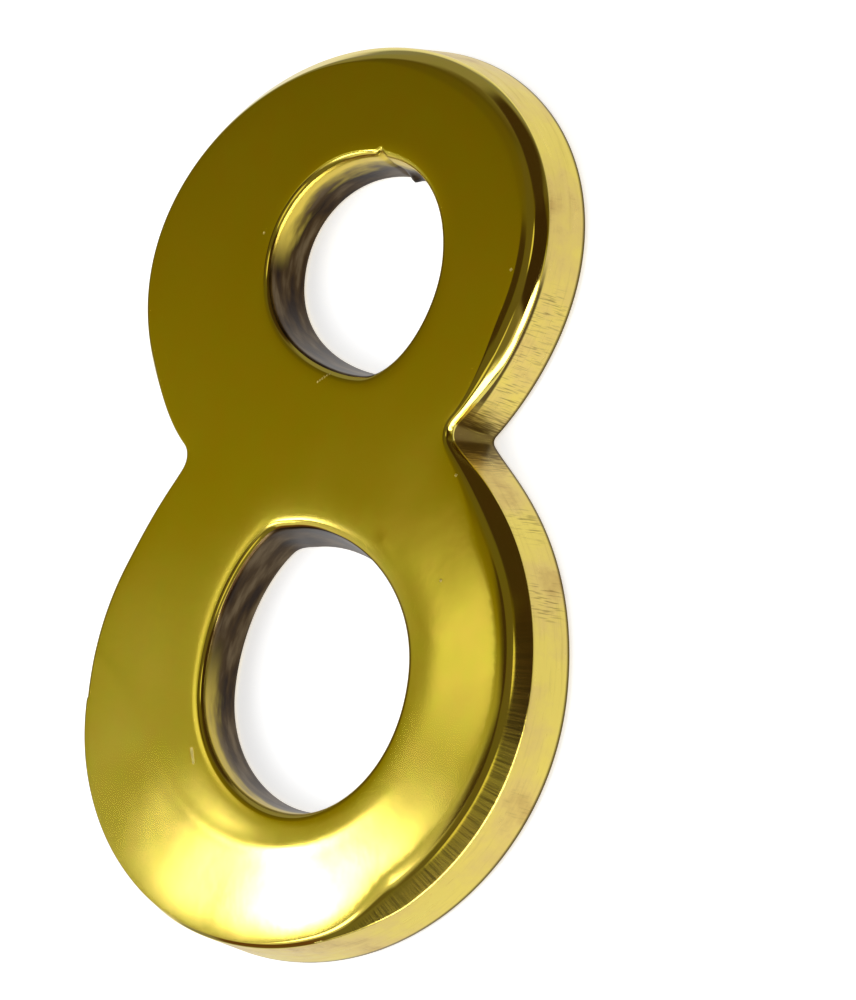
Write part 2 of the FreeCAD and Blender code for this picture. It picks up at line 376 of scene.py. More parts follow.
# The two tapped holes in the back
# Blind holes drilled and tapped M4, in the middle of the top and bottom strokes, take the threaded
# rods that hold the numeral to a door. The thread was cut last and is bright.
DRILL_RADIUS = 1.65
THREAD_DEPTH = 0.34
THREAD_PITCH = 0.7
MOUTH_RADIUS = 2.15
MOUTH_DEPTH = 0.35
HOLE_WEB = 0.9
DRILL_HALF_ANGLE = math.radians(59.0)
CONE_DEPTH = DRILL_RADIUS / math.tan(DRILL_HALF_ANGLE)
CONE_TIP_RADIUS = 0.05
THREAD_RUN_OUT = 0.25
BORE_DEPTH = THICKNESS - HOLE_WEB - CONE_DEPTH
TOP_HOLE_Z = (HEIGHT - WALL_FLARE - TOP_STROKE - UPPER_DRAFT + UPPER_OPENING["core_lean"][1]) / 2.0
BOTTOM_HOLE_Z = (WALL_FLARE + BOTTOM_STROKE + LOWER_DRAFT + LOWER_OPENING["core_lean"][1] - HEIGHT) / 2.0
HOLE_SIDES = 72
THREAD_STEPS = 44


def hole_rings(z):
    """Rings of a tapped hole, from its countersunk mouth down the thread to the drilled cone."""
    turn = np.linspace(0.0, 2.0 * math.pi, HOLE_SIDES, endpoint=False)
    round_hole = np.stack([np.cos(turn), np.sin(turn)], 1)
    rings = [ring(MOUTH_RADIUS * round_hole + [0.0, z], 0.0)]
    for k in range(THREAD_STEPS + 1):
        share = k / THREAD_STEPS
        depth = MOUTH_DEPTH + share * (BORE_DEPTH - MOUTH_DEPTH)
        phase = (depth / THREAD_PITCH - turn / (2.0 * math.pi)) % 1.0
        groove = THREAD_DEPTH * (1.0 - np.abs(2.0 * phase - 1.0))
        fade = min(1.0, (1.0 - share) / THREAD_RUN_OUT)
        radius = DRILL_RADIUS + groove * fade
        rings.append(ring(radius[:, None] * round_hole + [0.0, z], -depth))
    rings.append(ring(CONE_TIP_RADIUS * round_hole + [0.0, z], -BORE_DEPTH - CONE_DEPTH))
    return rings


# The buffed face
# The face was flat from the mould and was buffed on a soft wheel, which crowns it a little towards
# its edges, dishes it round the openings and leaves two faint ridges, as the reflections show.
CROWN_DROP = 0.012
CROWN_REACH = 3.0
DISH_DROP = 0.05
DISH_REACH = 4.5
RIM_DISH_DROP = 0.05
RIM_DISH_REACH = 1.8
# the first ridge runs on into the second, and the second and third die away at their ends
RIDGES = [
    ((-26.0, -12.5), (-17.0, -14.5), (-15.5, -30.0), (0.5, -29.3)),
    ((0.5, -29.3), (7.0, -29.0), (10.0, -26.5), (14.0, -24.0)),
    ((9.0, -5.0), (11.0, -8.0), (13.0, -12.5), (17.5, -12.8)),
]
RIDGE_END_SHARES = (1.0, 0.0, 0.0)
RIDGE_STEPS = 200
RIDGE_RISE = 0.009
RIDGE_WIDTH = 0.7
# the whole face lies this much below the flat of the casting, so that its ridges stay within it
FACE_SETBACK = 0.024
LONG_WAVE_HEIGHT = 0.005
SHORT_WAVE_HEIGHT = 0.001
FACE_GRID = 0.36
GRID_CLEARANCE = 0.24


def distance_to(ring_points, points):
    """Distance in the X-Z plane from each point to the nearest point of a ring."""
    nearest = np.full(len(points), np.inf)
    for chunk in np.array_split(ring_points[:, [0, 2]], 24):
        gap = np.linalg.norm(points[:, None, [0, 2]] - chunk[None], axis=2).min(1)
        nearest = np.minimum(nearest, gap)
    return nearest


def faded(distance, reach):
    """One at no distance, falling smoothly to nothing at the reach."""
    share = np.clip(1.0 - distance / reach, 0.0, 1.0)
    return share ** 3


def with_buffing(points):
    """Points with the face's crown, dishes, waves and ridges, which fade out down bevel and walls."""
    on_face = eased(-points[:, 1], THICKNESS - BEVEL_DROP, THICKNESS)
    x, z = points[:, 0], points[:, 2]
    crown = CROWN_DROP * faded(distance_to(face_outline, points), CROWN_REACH)
    from_lower = distance_to(opening_ring(LOWER_OPENING, 0.0), points)
    from_upper = distance_to(opening_ring(UPPER_OPENING, 0.0), points)
    dish = DISH_DROP * faded(from_lower, DISH_REACH)
    dish += RIM_DISH_DROP * faded(np.minimum(from_lower, from_upper), RIM_DISH_REACH)
    waves = LONG_WAVE_HEIGHT * np.sin(0.31 * x + 0.5) * np.sin(0.23 * z)
    waves += SHORT_WAVE_HEIGHT * np.sin(0.7 * x - 0.4 * z)
    ridges = np.zeros(len(points))
    for (start, first, second, end), end_share in zip(np.array(RIDGES), RIDGE_END_SHARES):
        rises = RIDGE_RISE * (1.0 - (1.0 - end_share) * np.linspace(0.0, 1.0, RIDGE_STEPS) ** 2)
        for spot, rise in zip(curve(start, first, second, end, RIDGE_STEPS), rises):
            gap = np.hypot(x - spot[0], z - spot[1])
            ridges = np.maximum(ridges, rise * np.exp(-(gap / RIDGE_WIDTH) ** 2))
    moved = points.copy()
    moved[:, 1] += on_face * (crown + dish + FACE_SETBACK + waves - ridges)
    return moved


def inside(points, outline):
    """Which points of the X-Z plane lie within a closed outline."""
    within = np.zeros(len(points), bool)
    for (ax, az), (bx, bz) in zip(outline, np.roll(outline, -1, axis=0)):
        if az == bz:
            continue
        crosses = (points[:, 1] < az) != (points[:, 1] < bz)
        within ^= crosses & (points[:, 0] < (bx - ax) * (points[:, 1] - az) / (bz - az) + ax)
    return within


def grid_between(outer, holes, spacing, clearance):
    """Points of a triangular grid inside an outline, outside its holes and clear of them all."""
    low, high = outer.min(0), outer.max(0)
    rows = []
    for number, z in enumerate(np.arange(low[1], high[1], spacing * math.sqrt(0.75))):
        x = np.arange(low[0] + spacing / 2.0 * (number % 2), high[0], spacing)
        rows.append(np.stack([x, np.full(len(x), z)], 1))
    points = np.vstack(rows)
    keep = inside(points, outer)
    for hole in holes:
        keep &= ~inside(points, hole)
    points = points[keep]
    flat = ring(points, 0.0)
    for outline in [outer] + holes:
        clear = distance_to(ring(outline, 0.0), flat) > clearance
        points, flat = points[clear], flat[clear]
    return points


class Shell:
    """Corners and faces of the one closed shell, each face with the number of its finish."""

    def __init__(self):
        self.corners = []
        self.faces = []
        self.finishes = []
        self.courses = []
        self.count = 0

    def add(self, points, guide=None):
        """Adds corners, each with its place in mm round a guiding ring, and gives their numbers."""
        self.corners.append(points)
        guide = points if guide is None else guide
        steps = np.linalg.norm(np.roll(guide, -1, axis=0) - guide, axis=1)
        girth = steps.sum() + 1e-9
        turn = 2.0 * math.pi * (np.cumsum(steps) - steps) / girth
        reach = girth / (2.0 * math.pi)
        self.courses.append(np.stack([reach * np.cos(turn), reach * np.sin(turn), points[:, 1]], 1))
        numbers = np.arange(self.count, self.count + len(points))
        self.count += len(points)
        return numbers

    def bridge(self, rings, finish_of):
        """Joins rings of equally many points into a wall and gives its first and last ring's numbers."""
        numbers = [self.add(points, rings[0]) for points in rings]
        for k in range(len(rings) - 1):
            near, far = numbers[k], numbers[k + 1]
            quads = np.stack([near, np.roll(near, -1), np.roll(far, -1), far], 1)
            self.faces += quads.tolist()
            self.finishes += [finish_of(k)] * len(quads)
        return numbers[0], numbers[-1]

    def fill(self, loops, extra, y, finish):
        """Fills the first loop, less the others, with triangles over the extra points."""
        flat = np.vstack(self.corners)[:, [0, 2]]
        outlines = [flat[loop] for loop in loops]
        numbers = np.concatenate(loops)
        if len(extra):
            numbers = np.concatenate([numbers, self.add(ring(extra, y))])
        points = np.vstack(outlines + [extra])
        edges = []
        start = 0
        for loop in loops:
            edges += [(start + k, start + (k + 1) % len(loop)) for k in range(len(loop))]
            start += len(loop)
        closeness = 1e-7
        result = delaunay_2d_cdt([Vector(point) for point in points], edges, [], 0, closeness)
        source = [found[0] if found else -1 for found in result[3]]
        triangles = np.array([[source[c] for c in face] for face in result[2]])
        middles = points[triangles].mean(1)
        keep = inside(middles, outlines[0])
        for outline in outlines[1:]:
            keep &= ~inside(middles, outline)
        triangles = numbers[triangles[keep]]
        self.faces += triangles.tolist()
        self.finishes += [finish] * len(triangles)


POLISHED, LINISHED, AS_CAST, BACK, TAPPED = range(5)
EDGE_RING = len(wall_rings) + 1
LAST_CAST_RING = len(upper_rings) - len(APRON) - RIM_STEPS + RIM_WALL_STEPS

shell = Shell()
outer_back, outer_face = shell.bridge(outer_rings, lambda k: LINISHED if k < EDGE_RING else POLISHED)
upper_back, upper_face = shell.bridge(upper_rings, lambda k: AS_CAST if k < LAST_CAST_RING else POLISHED)
lower_back, lower_face = shell.bridge(lower_rings, lambda k: AS_CAST if k < LAST_CAST_RING else POLISHED)

hole_mouths = []
for hole_z in (TOP_HOLE_Z, BOTTOM_HOLE_Z):
    mouth, tip = shell.bridge(hole_rings(hole_z), lambda k: TAPPED)
    centre = shell.add(np.array([[0.0, -BORE_DEPTH - CONE_DEPTH, hole_z]]))[0]
    cone_faces = [[tip[k], tip[(k + 1) % HOLE_SIDES], centre] for k in range(HOLE_SIDES)]
    shell.faces += cone_faces
    shell.finishes += [TAPPED] * HOLE_SIDES
    hole_mouths.append(mouth)

face_edges = [rings[-1][:, [0, 2]] for rings in (outer_rings, upper_rings, lower_rings)]
face_grid = grid_between(face_edges[0], face_edges[1:], FACE_GRID, GRID_CLEARANCE)
shell.fill([outer_face, upper_face, lower_face], face_grid, -THICKNESS, POLISHED)
shell.fill([outer_back, upper_back, lower_back] + hole_mouths, np.zeros((0, 2)), 0.0, BACK)

corners = with_buffing(np.vstack(shell.corners)) * MM
mesh = bpy.data.meshes.new("numeral_eight_casting")
mesh.from_pydata(corners.tolist(), [], shell.faces)
mesh.polygons.foreach_set("material_index", shell.finishes)
mesh.polygons.foreach_set("use_smooth", [True] * len(mesh.polygons))

shaping = bmesh.new()
shaping.from_mesh(mesh)
bmesh.ops.recalc_face_normals(shaping, faces=shaping.faces)
open_edges = sum(1 for edge in shaping.edges if len(edge.link_faces) != 2)
print("casting", len(shaping.verts), "corners", len(shaping.faces), "faces", open_edges, "open edges")
shaping.to_mesh(mesh)
shaping.free()
course = mesh.attributes.new("course_mm", "FLOAT_VECTOR", "POINT")
course.data.foreach_set("vector", np.vstack(shell.courses).ravel())
casting = bpy.data.objects.new("numeral_eight_casting", mesh)
bpy.context.collection.objects.link(casting)


def linear(hex_colour):
    """An sRGB hex colour as the linear colour that shaders take."""
    channels = [int(hex_colour[k:k + 2], 16) / 255.0 for k in (0, 2, 4)]
    return [c / 12.92 if c <= 0.04045 else ((c + 0.055) / 1.055) ** 2.4 for c in channels] + [1.0]


def add_node(tree, kind, settings=None, inputs=None):
    """Adds a node with its settings, and sets or links its inputs."""
    node = tree.nodes.new(kind)
    for name, value in (settings or {}).items():
        setattr(node, name, value)
    for socket, value in (inputs or {}).items():
        if isinstance(value, bpy.types.NodeSocket):
            tree.links.new(value, node.inputs[socket])
        else:
            node.inputs[socket].default_value = value
    return node


def new_material(name):
    """An empty material and its node tree."""
    material = bpy.data.materials.new(name)
    material.use_nodes = True
    material.node_tree.nodes.clear()
    return material, material.node_tree


def set_ramp(ramp, stops):
    """Gives a colour ramp its stops, each a position and a colour."""
    while len(ramp.elements) < len(stops):
        ramp.elements.new(0.5)
    for element, (position, tone) in zip(ramp.elements, stops):
        element.position = position
        element.color = tone


def streaks(tree, vector, sizes, detail, roughness=0.5):
    """Noise drawn out to the given sizes along the three directions of a vector."""
    drawn = add_node(tree, "ShaderNodeVectorMath", {"operation": "MULTIPLY"}, {
        0: vector, 1: [1.0 / size for size in sizes]})
    noise = add_node(tree, "ShaderNodeTexNoise", inputs={
        "Vector": drawn.outputs[0], "Scale": 1.0, "Detail": detail, "Roughness": roughness})
    return noise.outputs[0]


def spotted(tree, colour, stain, place, middle, radii, most=1.0):
    """Mixes a stain into a colour round a point in mm, and gives the colour and the stain's share."""
    gap = add_node(tree, "ShaderNodeVectorMath", {"operation": "DISTANCE"}, {
        0: place, 1: [value * MM for value in middle]})
    spot = add_node(tree, "ShaderNodeMapRange", inputs={
        "Value": gap.outputs["Value"], "From Min": radii[1] * MM, "From Max": radii[0] * MM, "To Max": most})
    mixed = add_node(tree, "ShaderNodeMix", {"data_type": "RGBA"}, {0: spot.outputs[0], 6: colour, 7: stain})
    return mixed.outputs[2], spot.outputs[0]


def where_in(tree, place, fades, most=1.0):
    """Share of a zone at a place: the product of fades, each an axis with its start and end in mm."""
    apart = add_node(tree, "ShaderNodeSeparateXYZ", inputs={0: place})
    share = most
    for axis, start, end in fades:
        fade = add_node(tree, "ShaderNodeMapRange", inputs={
            "Value": apart.outputs[axis], "From Min": start * MM, "From Max": end * MM})
        share = add_node(tree, "ShaderNodeMath", {"operation": "MULTIPLY"}, {
            0: fade.outputs[0], 1: share}).outputs[0]
    return share


def finish_metal(material, colour, roughness, height, distance):
    """Ends a metal's tree with its relief, surface and output, and gives it to the casting."""
    tree = material.node_tree
    relief = add_node(tree, "ShaderNodeBump", inputs={
        "Height": height, "Distance": distance * MM, "Strength": 1.0})
    surface = add_node(tree, "ShaderNodeBsdfPrincipled", inputs={
        "Base Color": colour, "Metallic": 1.0, "Roughness": roughness, "Normal": relief.outputs[0]})
    add_node(tree, "ShaderNodeOutputMaterial", inputs={"Surface": surface.outputs[0]})
    mesh.materials.append(material)


# Buffed brass: a yellow brass of about two parts copper to one of zinc, cut back with grit and buffed
# on a soft wheel. It mirrors the room a little blurred, with a faint orange peel that mottles it
# olive and tan, a few specks of casting porosity and two short scratches. Its sizes are in mm.
BRASS = linear("F2DC6E")
GREEN_BRASS = linear("EFDE6A")
RED_BRASS = linear("F3DA71")
SPECK_BROWN = linear("5E4A1C")
SPECK_PALE = linear("FFEBA4")
NOISE_LOW, NOISE_HIGH = 0.3, 0.7
MOTTLE_SIZE = 2.6
HAZE_SIZE = 9.0
BUFFED_ROUGHNESS = (0.06, 0.105)
ORANGE_PEEL_SIZE = 2.1
ORANGE_PEEL_HEIGHT = 0.0016
SPECK_RADII = (0.09, 0.18)
SPECK_DULLNESS = 0.4
SPECKS = [
    ((-8.4, -4.7, 22.4), SPECK_PALE),
    ((20.8, -4.7, 16.5), SPECK_PALE),
    ((16.8, -4.7, 0.2), SPECK_PALE),
    ((16.2, -4.7, -8.2), SPECK_PALE),
    ((26.0, -4.1, -14.9), SPECK_BROWN),
]
# each scratch has its two ends and its half width
SCRATCHES = [
    ((-0.1, -4.7, 9.0), (1.2, -4.7, 9.6), 0.16),
    ((-10.9, -4.6, -21.2), (-10.5, -4.55, -22.3), 0.22),
]
SCRATCH_STEPS = 5
SCRATCH_DULLNESS = 0.3

material, tree = new_material("buffed_brass")
place = add_node(tree, "ShaderNodeTexCoord").outputs["Object"]
mottle = add_node(tree, "ShaderNodeTexNoise", inputs={
    "Vector": place, "Scale": 1.0 / (MOTTLE_SIZE * MM), "Detail": 4.0, "Roughness": 0.6})
tint = add_node(tree, "ShaderNodeValToRGB", inputs={0: mottle.outputs[0]})
set_ramp(tint.color_ramp, [(0.32, GREEN_BRASS), (0.68, RED_BRASS)])
haze = add_node(tree, "ShaderNodeTexNoise", inputs={
    "Vector": place, "Scale": 1.0 / (HAZE_SIZE * MM), "Detail": 5.0})
gloss = add_node(tree, "ShaderNodeMapRange", inputs={
    "Value": haze.outputs[0], "From Min": NOISE_LOW, "From Max": NOISE_HIGH,
    "To Min": BUFFED_ROUGHNESS[0], "To Max": BUFFED_ROUGHNESS[1]})
peel = add_node(tree, "ShaderNodeTexNoise", inputs={
    "Vector": place, "Scale": 1.0 / (ORANGE_PEEL_SIZE * MM), "Detail": 2.5})
colour = tint.outputs[0]
matt = gloss.outputs[0]
for speck, stain in SPECKS:
    colour, spot = spotted(tree, colour, stain, place, speck, SPECK_RADII)
    matt = add_node(tree, "ShaderNodeMath", {"operation": "MULTIPLY_ADD"}, {
        0: spot, 1: SPECK_DULLNESS, 2: matt}).outputs[0]
for start, end, radius in SCRATCHES:
    for step in range(SCRATCH_STEPS + 1):
        point = [a + (b - a) * step / SCRATCH_STEPS for a, b in zip(start, end)]
        colour, spot = spotted(tree, colour, SPECK_PALE, place, point, (0.6 * radius, radius))
        matt = add_node(tree, "ShaderNodeMath", {"operation": "MULTIPLY_ADD"}, {
            0: spot, 1: SCRATCH_DULLNESS, 2: matt}).outputs[0]

# the hand grinding left short lines across the bevel at the lower right, which the buff didn't reach
GRIND_WIDTH = 0.14
GRIND_LENGTH = 2.4
GRIND_BROWN = linear("6E5C2C")
GRIND_MOST = 0.6
GRIND_DULLNESS = 0.15
GRIND_ZONE = [("Y", -4.50, -4.32), ("Z", -10.0, -19.0), ("X", 6.0, 12.0)]
course = add_node(tree, "ShaderNodeAttribute", {"attribute_name": "course_mm"}).outputs["Vector"]
ground = streaks(tree, course, (GRIND_WIDTH, GRIND_WIDTH, GRIND_LENGTH), 2.0)
part = where_in(tree, place, GRIND_ZONE)
lined = add_node(tree, "ShaderNodeMapRange", inputs={
    "Value": ground, "From Min": 0.42, "From Max": 0.66, "To Max": GRIND_MOST})
cut = add_node(tree, "ShaderNodeMath", {"operation": "MULTIPLY"}, {0: lined.outputs[0], 1: part})
mixed = add_node(tree, "ShaderNodeMix", {"data_type": "RGBA"}, {0: cut.outputs[0], 6: colour, 7: GRIND_BROWN})
dulled = add_node(tree, "ShaderNodeMath", {"operation": "MULTIPLY_ADD"}, {
    0: part, 1: GRIND_DULLNESS, 2: matt})
finish_metal(material, mixed.outputs[2], dulled.outputs[0], peel.outputs[0], ORANGE_PEEL_HEIGHT)

# Linished brass: the same brass drawn along a fine belt, which leaves faint lines that run round the
# wall. It is a satin, paler yellow, with pits, clusters of cross scratches from the file, and brown
# grime with painted shade in the notches of the waist, where no belt reaches. Its sizes are in mm.
LINE_LENGTH = 5.0
LINE_WIDTH = 0.22
LINE_HEIGHT = 0.0018
STAIN_SIZE = 6.0
TAN_BRASS = linear("EACF78")
DUN_STAIN = linear("CFAE66")
PIT_BROWN = linear("6A5430")
LINE_SHADE = 0.10
PIT_RADII = (0.16, 0.42)
PIT_MOST = 0.85
PITS = [(24.3, -2.2, 13.3), (24.9, -2.4, 12.2), (25.7, -2.0, -22.8), (18.0, -2.2, -30.4)]
SATIN_ROUGHNESS = (0.26, 0.42)

material, tree = new_material("linished_brass")
place = add_node(tree, "ShaderNodeTexCoord").outputs["Object"]
course = add_node(tree, "ShaderNodeAttribute", {"attribute_name": "course_mm"}).outputs["Vector"]
lines = streaks(tree, course, (LINE_LENGTH, LINE_LENGTH, LINE_WIDTH), 4.0, 0.65)
stains = add_node(tree, "ShaderNodeTexNoise", inputs={
    "Vector": place, "Scale": 1.0 / (STAIN_SIZE * MM), "Detail": 5.0, "Roughness": 0.6})
stained = add_node(tree, "ShaderNodeValToRGB", inputs={0: stains.outputs[0]})
set_ramp(stained.color_ramp, [(0.40, BRASS), (0.56, TAN_BRASS), (0.72, DUN_STAIN)])
scored = add_node(tree, "ShaderNodeMapRange", inputs={
    "Value": lines, "From Min": 0.56, "From Max": 0.70, "To Max": LINE_SHADE})
worn = add_node(tree, "ShaderNodeMix", {"data_type": "RGBA"}, {
    0: scored.outputs[0], 6: stained.outputs[0], 7: PIT_BROWN})
colour = worn.outputs[2]
for pit in PITS:
    colour, spot = spotted(tree, colour, PIT_BROWN, place, pit, PIT_RADII, PIT_MOST)

# the file's scratches stand across the wall in clusters
SCRATCH_WIDTH = 0.13
SCRATCH_LENGTH = 1.6
CLUSTER_RADII = (1.04, 2.6)
CLUSTER_MOST = 0.6
SCRAPES = [(22.9, -2.0, 13.2), (20.5, -2.0, 11.0), (19.4, -2.0, 6.9), (22.9, -2.0, -3.0), (25.1, -2.0, -9.6)]
filed = streaks(tree, course, (SCRATCH_WIDTH, SCRATCH_WIDTH, SCRATCH_LENGTH), 1.5)
strokes = add_node(tree, "ShaderNodeMapRange", inputs={"Value": filed, "From Min": 0.54, "From Max": 0.68})
clusters = add_node(tree, "ShaderNodeMapRange", inputs={
    "Value": stains.outputs[0], "From Min": 0.55, "From Max": 0.66, "To Max": 0.18}).outputs[0]
for scrape in SCRAPES:
    gap = add_node(tree, "ShaderNodeVectorMath", {"operation": "DISTANCE"}, {
        0: place, 1: [value * MM for value in scrape]})
    near = add_node(tree, "ShaderNodeMapRange", inputs={
        "Value": gap.outputs["Value"], "From Min": CLUSTER_RADII[1] * MM, "From Max": CLUSTER_RADII[0] * MM,
        "To Max": CLUSTER_MOST})
    clusters = add_node(tree, "ShaderNodeMath", {"operation": "MAXIMUM"}, {
        0: clusters, 1: near.outputs[0]}).outputs[0]
scratched = add_node(tree, "ShaderNodeMath", {"operation": "MULTIPLY"}, {0: clusters, 1: strokes.outputs[0]})
scraped = add_node(tree, "ShaderNodeMix", {"data_type": "RGBA"}, {
    0: scratched.outputs[0], 6: colour, 7: PIT_BROWN})
colour = scraped.outputs[2]

# grime and painted shade sit in the notch: a dark brown painted into the colour for soot and for the shade of
# the corner, thickest in its corner, and thinning out along the lower flank
NOTCH_GRIME_AND_SHADE = linear("57421F")
NOTCH_RADII = (1.0, 4.2)
NOTCH_RAGGEDNESS = 1.0
NOTCH_MOST = 0.88
NOTCH_GRIME_AND_SHADE_CENTRE = ((WAIST_HALF_WIDTH + 0.4) * MM, 0.0, (WAIST_Z - 0.6) * MM)
mirrored_place = add_node(tree, "ShaderNodeVectorMath", {"operation": "ABSOLUTE"}, {0: place})
sideways = add_node(tree, "ShaderNodeSeparateXYZ", inputs={0: mirrored_place.outputs[0]})
upright = add_node(tree, "ShaderNodeSeparateXYZ", inputs={0: place})
flat_place = add_node(tree, "ShaderNodeCombineXYZ", inputs={
    "X": sideways.outputs["X"], "Y": 0.0, "Z": upright.outputs["Z"]})
to_notch = add_node(tree, "ShaderNodeVectorMath", {"operation": "DISTANCE"}, {
    0: flat_place.outputs[0], 1: NOTCH_GRIME_AND_SHADE_CENTRE})
ragged = add_node(tree, "ShaderNodeMapRange", inputs={
    "Value": filed, "From Min": NOISE_LOW, "From Max": NOISE_HIGH,
    "To Min": -NOTCH_RAGGEDNESS * MM, "To Max": NOTCH_RAGGEDNESS * MM})
edge = add_node(tree, "ShaderNodeMath", {"operation": "ADD"}, {
    0: to_notch.outputs["Value"], 1: ragged.outputs[0]})
grime_and_shade = add_node(tree, "ShaderNodeMapRange", {"interpolation_type": "SMOOTHSTEP"}, {
    "Value": edge.outputs[0], "From Min": NOTCH_RADII[1] * MM, "From Max": NOTCH_RADII[0] * MM,
    "To Max": NOTCH_MOST})
notched = add_node(tree, "ShaderNodeMix", {"data_type": "RGBA"}, {
    0: grime_and_shade.outputs[0], 6: colour, 7: NOTCH_GRIME_AND_SHADE})

# a brown line follows the crisp edge down the upper flank, and a dark brown painted shade, standing
# for the contact shadow and dark reflection at the back edge, runs where the wall meets the back
EDGE_LINE = linear("3A2614")
EDGE_LINE_ZONE = [("Z", 17.5, 15.0), ("Z", 4.5, 6.5), ("Y", -3.18, -3.30)]
EDGE_LINE_MOST = 0.9
BACK_EDGE_SHADE = linear("4A3A1E")
BACK_EDGE_SHADE_ZONE = [("Y", -0.36, -0.18)]
BACK_EDGE_SHADE_MOST = 0.9
line = where_in(tree, place, EDGE_LINE_ZONE, EDGE_LINE_MOST)
lined = add_node(tree, "ShaderNodeMix", {"data_type": "RGBA"}, {0: line, 6: notched.outputs[2], 7: EDGE_LINE})
# the back edge's painted shade: a dark brown band in the colour for the contact shadow
foot = where_in(tree, place, BACK_EDGE_SHADE_ZONE, BACK_EDGE_SHADE_MOST)
shaded_at_back = add_node(tree, "ShaderNodeMix", {"data_type": "RGBA"}, {0: foot, 6: lined.outputs[2], 7: BACK_EDGE_SHADE})
satin = add_node(tree, "ShaderNodeMapRange", inputs={
    "Value": lines, "From Min": NOISE_LOW, "From Max": NOISE_HIGH,
    "To Min": SATIN_ROUGHNESS[0], "To Max": SATIN_ROUGHNESS[1]})
finish_metal(material, shaded_at_back.outputs[2], satin.outputs[0], lines, LINE_HEIGHT)

# As-cast brass: the skin that the sand cores left in the openings, dull and finely grained. It is
# brown with oxide, in streaks that follow the wall, and rubbed yellow near the face at the top of the
# upper opening and the foot of the lower one, where the buffing wheel reached in. Its sizes are in mm.
SAND_GRAIN = 0.4
SAND_HEIGHT = 0.008
OXIDE_LENGTH = 4.5
OXIDE_DEPTH = 1.3
RUBBED_BRASS = linear("EBD057")
OXIDE_BROWN = linear("45331A")
OXIDE_DARK = linear("2A1C10")
OXIDE_GREY = linear("6B5A40")
RUBBED_DEPTHS = (0.72, 2.64)
RUBBED_WAVER = 0.8
RUBBED_TOP = (19.0, 23.5)
RUBBED_FOOT = (-11.0, -19.0)
RUBBED_FOOT_MOST = 0.7
AS_CAST_ROUGHNESS = 0.38

material, tree = new_material("as_cast_brass")
place = add_node(tree, "ShaderNodeTexCoord").outputs["Object"]
apart = add_node(tree, "ShaderNodeSeparateXYZ", inputs={0: place})
course = add_node(tree, "ShaderNodeAttribute", {"attribute_name": "course_mm"}).outputs["Vector"]
patches = streaks(tree, course, (OXIDE_LENGTH, OXIDE_LENGTH, OXIDE_DEPTH), 3.0)
oxide = add_node(tree, "ShaderNodeValToRGB", inputs={0: patches})
set_ramp(oxide.color_ramp, [(0.36, OXIDE_DARK), (0.5, OXIDE_BROWN), (0.68, OXIDE_GREY)])
wavering = add_node(tree, "ShaderNodeMapRange", inputs={
    "Value": patches, "From Min": NOISE_LOW, "From Max": NOISE_HIGH,
    "To Min": -RUBBED_WAVER * MM, "To Max": RUBBED_WAVER * MM})
shallow = add_node(tree, "ShaderNodeMath", {"operation": "ADD"}, {
    0: apart.outputs["Y"], 1: wavering.outputs[0]})
rubbed = add_node(tree, "ShaderNodeMapRange", {"interpolation_type": "SMOOTHSTEP"}, {
    "Value": shallow.outputs[0], "From Min": (RUBBED_DEPTHS[1] - THICKNESS) * MM,
    "From Max": (RUBBED_DEPTHS[0] - THICKNESS) * MM})
at_top = add_node(tree, "ShaderNodeMapRange", {"interpolation_type": "SMOOTHSTEP"}, {
    "Value": apart.outputs["Z"], "From Min": RUBBED_TOP[0] * MM, "From Max": RUBBED_TOP[1] * MM})
at_foot = add_node(tree, "ShaderNodeMapRange", {"interpolation_type": "SMOOTHSTEP"}, {
    "Value": apart.outputs["Z"], "From Min": RUBBED_FOOT[0] * MM, "From Max": RUBBED_FOOT[1] * MM,
    "To Max": RUBBED_FOOT_MOST})
reached = add_node(tree, "ShaderNodeMath", {"operation": "MAXIMUM"}, {
    0: at_top.outputs[0], 1: at_foot.outputs[0]})
bared = add_node(tree, "ShaderNodeMath", {"operation": "MULTIPLY"}, {
    0: rubbed.outputs[0], 1: reached.outputs[0]})
skin = add_node(tree, "ShaderNodeMix", {"data_type": "RGBA"}, {
    0: bared.outputs[0], 6: oxide.outputs[0], 7: RUBBED_BRASS})
sand = add_node(tree, "ShaderNodeTexNoise", inputs={
    "Vector": place, "Scale": 1.0 / (SAND_GRAIN * MM), "Detail": 3.0})
finish_metal(material, skin.outputs[2], AS_CAST_ROUGHNESS, sand.outputs[0], SAND_HEIGHT)

# Linished back: ground flat on a coarse belt so that it sits on the door, never polished, and gone
# brown in patches. The lines run up the numeral. Its sizes are in mm.
BELT_LENGTH = 14.0
BELT_WIDTH = 0.35
BELT_HEIGHT = 0.01
PATCH_SIZE = 12.0
PATCH_MOST = 0.8
DULL_BRASS = linear("D3B860")
BACK_BROWN = linear("8A6A3A")
BACK_ROUGHNESS = (0.38, 0.52)

material, tree = new_material("linished_back")
place = add_node(tree, "ShaderNodeTexCoord").outputs["Object"]
lines = streaks(tree, place, (BELT_WIDTH * MM, BELT_LENGTH * MM, BELT_LENGTH * MM), 4.0, 0.65)
patches = add_node(tree, "ShaderNodeTexNoise", inputs={
    "Vector": place, "Scale": 1.0 / (PATCH_SIZE * MM), "Detail": 6.0, "Roughness": 0.6})
browned = add_node(tree, "ShaderNodeMapRange", inputs={
    "Value": patches.outputs[0], "From Min": 0.42, "From Max": 0.70, "To Max": PATCH_MOST})
dulled = add_node(tree, "ShaderNodeMix", {"data_type": "RGBA"}, {
    0: browned.outputs[0], 6: DULL_BRASS, 7: BACK_BROWN})
matt = add_node(tree, "ShaderNodeMapRange", inputs={
    "Value": lines, "From Min": NOISE_LOW, "From Max": NOISE_HIGH,
    "To Min": BACK_ROUGHNESS[0], "To Max": BACK_ROUGHNESS[1]})
